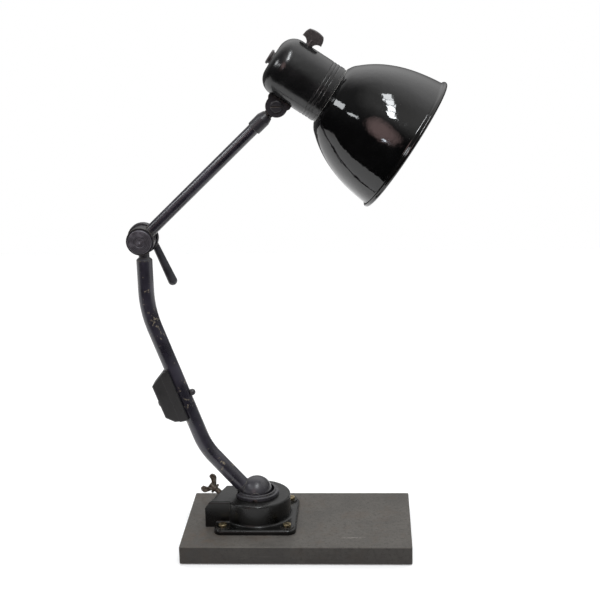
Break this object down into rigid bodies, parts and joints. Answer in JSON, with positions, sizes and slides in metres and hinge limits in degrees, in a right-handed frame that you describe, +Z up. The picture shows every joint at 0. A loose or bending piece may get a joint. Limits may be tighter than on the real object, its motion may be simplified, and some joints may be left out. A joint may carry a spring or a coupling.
{
  "type": "desk lamp",
  "caption": "Jointed desk lamp on a rectangular steel slab: cast swivel bracket, bent tube arm, friction elbow with lever, slim upper arm and deep bell shade.",
  "frame": {"origin": "centre of the underside, where the felt rests on the desk", "axes": "+Z up, +X along the slab towards the shade, +Y away from the viewer; the arms lie in a plane parallel to XZ"},
  "size_m": [0.3387, 0.15, 0.558],
  "materials": {
    "felt": "wool felt",
    "slab_steel": "satin, blackened hot-rolled steel",
    "cast_black": "satin black over casting grain",
    "screw_steel": "worn zinc-brass plating",
    "bare_steel": "bare, browned",
    "machined_steel": "machined",
    "tube_black": "worn satin black paint",
    "joint_black": "worn satin black paint on steel",
    "bright_washer": "bright",
    "bakelite": "dark brown-black bakelite",
    "box_bakelite": "dull black bakelite",
    "rubber_black": "matt",
    "brass": "dull",
    "porcelain": "glazed",
    "enamel_black": "gloss stove enamel, white inside",
    "housing_black": "gloss black lacquer",
    "bulb_glass": "pearl",
    "bulb_cap": "rolled thread"
  },
  "bodies": {
    "base": {"felt_pad": "felt", "base_slab": "slab_steel", "bracket_housing": "cast_black", "bracket_screws": "screw_steel", "brake_shoe": "brass"},
    "clamp_screw": {"wing_screw": "bare_steel"},
    "swivel": {"swivel_collar": "joint_black", "collar_keeper": "machined_steel", "tilt_pin": "machined_steel"},
    "lower_arm": {"ball_knuckle": "joint_black", "lower_tube": "tube_black", "terminal_box": "box_bakelite", "terminal_box_cover": "box_bakelite", "terminal_block": "porcelain", "box_bolt": "joint_black", "box_cap_nut": "joint_black", "cable_grommet": "rubber_black", "elbow_lower_disc": "joint_black", "elbow_bolt": "machined_steel"},
    "lever": {"clamp_lever": "joint_black"},
    "upper_arm": {"elbow_upper_disc": "joint_black", "elbow_washer": "bright_washer", "elbow_cap": "joint_black", "upper_tube": "tube_black", "tube_ferrule": "joint_black"},
    "yoke": {"head_tongue": "joint_black"},
    "head": {"head_fork": "joint_black", "hinge_bolt": "joint_black", "hinge_nut": "joint_black", "fork_rivets": "machined_steel", "socket_housing": "housing_black", "back_plug": "bakelite", "switch_body": "bakelite", "lamp_holder": "porcelain", "threaded_shell": "brass", "centre_contact": "brass", "shade_carrier": "machined_steel", "bulb_cap": "bulb_cap", "bulb_glass": "bulb_glass", "shade": "enamel_black"},
    "key": {"switch_key": "bakelite"}
  },
  "joints": [
    {"name": "base_swivel", "type": "hinge", "parent": "base", "child": "swivel", "pos_m": [-0.046, 0.003, 0.021], "axis": [0, 0, 1], "range_deg": [-165, 165]},
    {"name": "base_tilt", "type": "hinge", "parent": "swivel", "child": "lower_arm", "pos_m": [-0.046, 0.003, 0.051], "axis": [0, 1, 0], "range_deg": [-5, 35]},
    {"name": "elbow", "type": "hinge", "parent": "lower_arm", "child": "upper_arm", "pos_m": [-0.15985, 0.003, 0.34195], "axis": [0, 1, 0], "range_deg": [-75, 75]},
    {"name": "lever_turn", "type": "hinge", "parent": "lower_arm", "child": "lever", "pos_m": [-0.15985, 0.003, 0.34195], "axis": [0, 1, 0], "range_deg": [-60, 30]},
    {"name": "head_swivel", "type": "hinge", "parent": "upper_arm", "child": "yoke", "pos_m": [-0.01114, 0.003, 0.4816], "axis": [0.729, 0, 0.6845], "range_deg": [-160, 160]},
    {"name": "head_tilt", "type": "hinge", "parent": "yoke", "child": "head", "pos_m": [-0.01114, 0.003, 0.4816], "axis": [0, 1, 0], "range_deg": [-60, 65]},
    {"name": "key_turn", "type": "hinge", "parent": "head", "child": "key", "pos_m": [0.02317, 0.003, 0.54143], "axis": [0.5577, 0, 0.83], "continuous": true},
    {"name": "clamp_turn", "type": "hinge", "parent": "base", "child": "clamp_screw", "pos_m": [-0.0713, 0.01122, 0.032], "axis": [-0.7791, 0.2531, 0.5736], "range_deg": [-150, 150]}
  ]
}
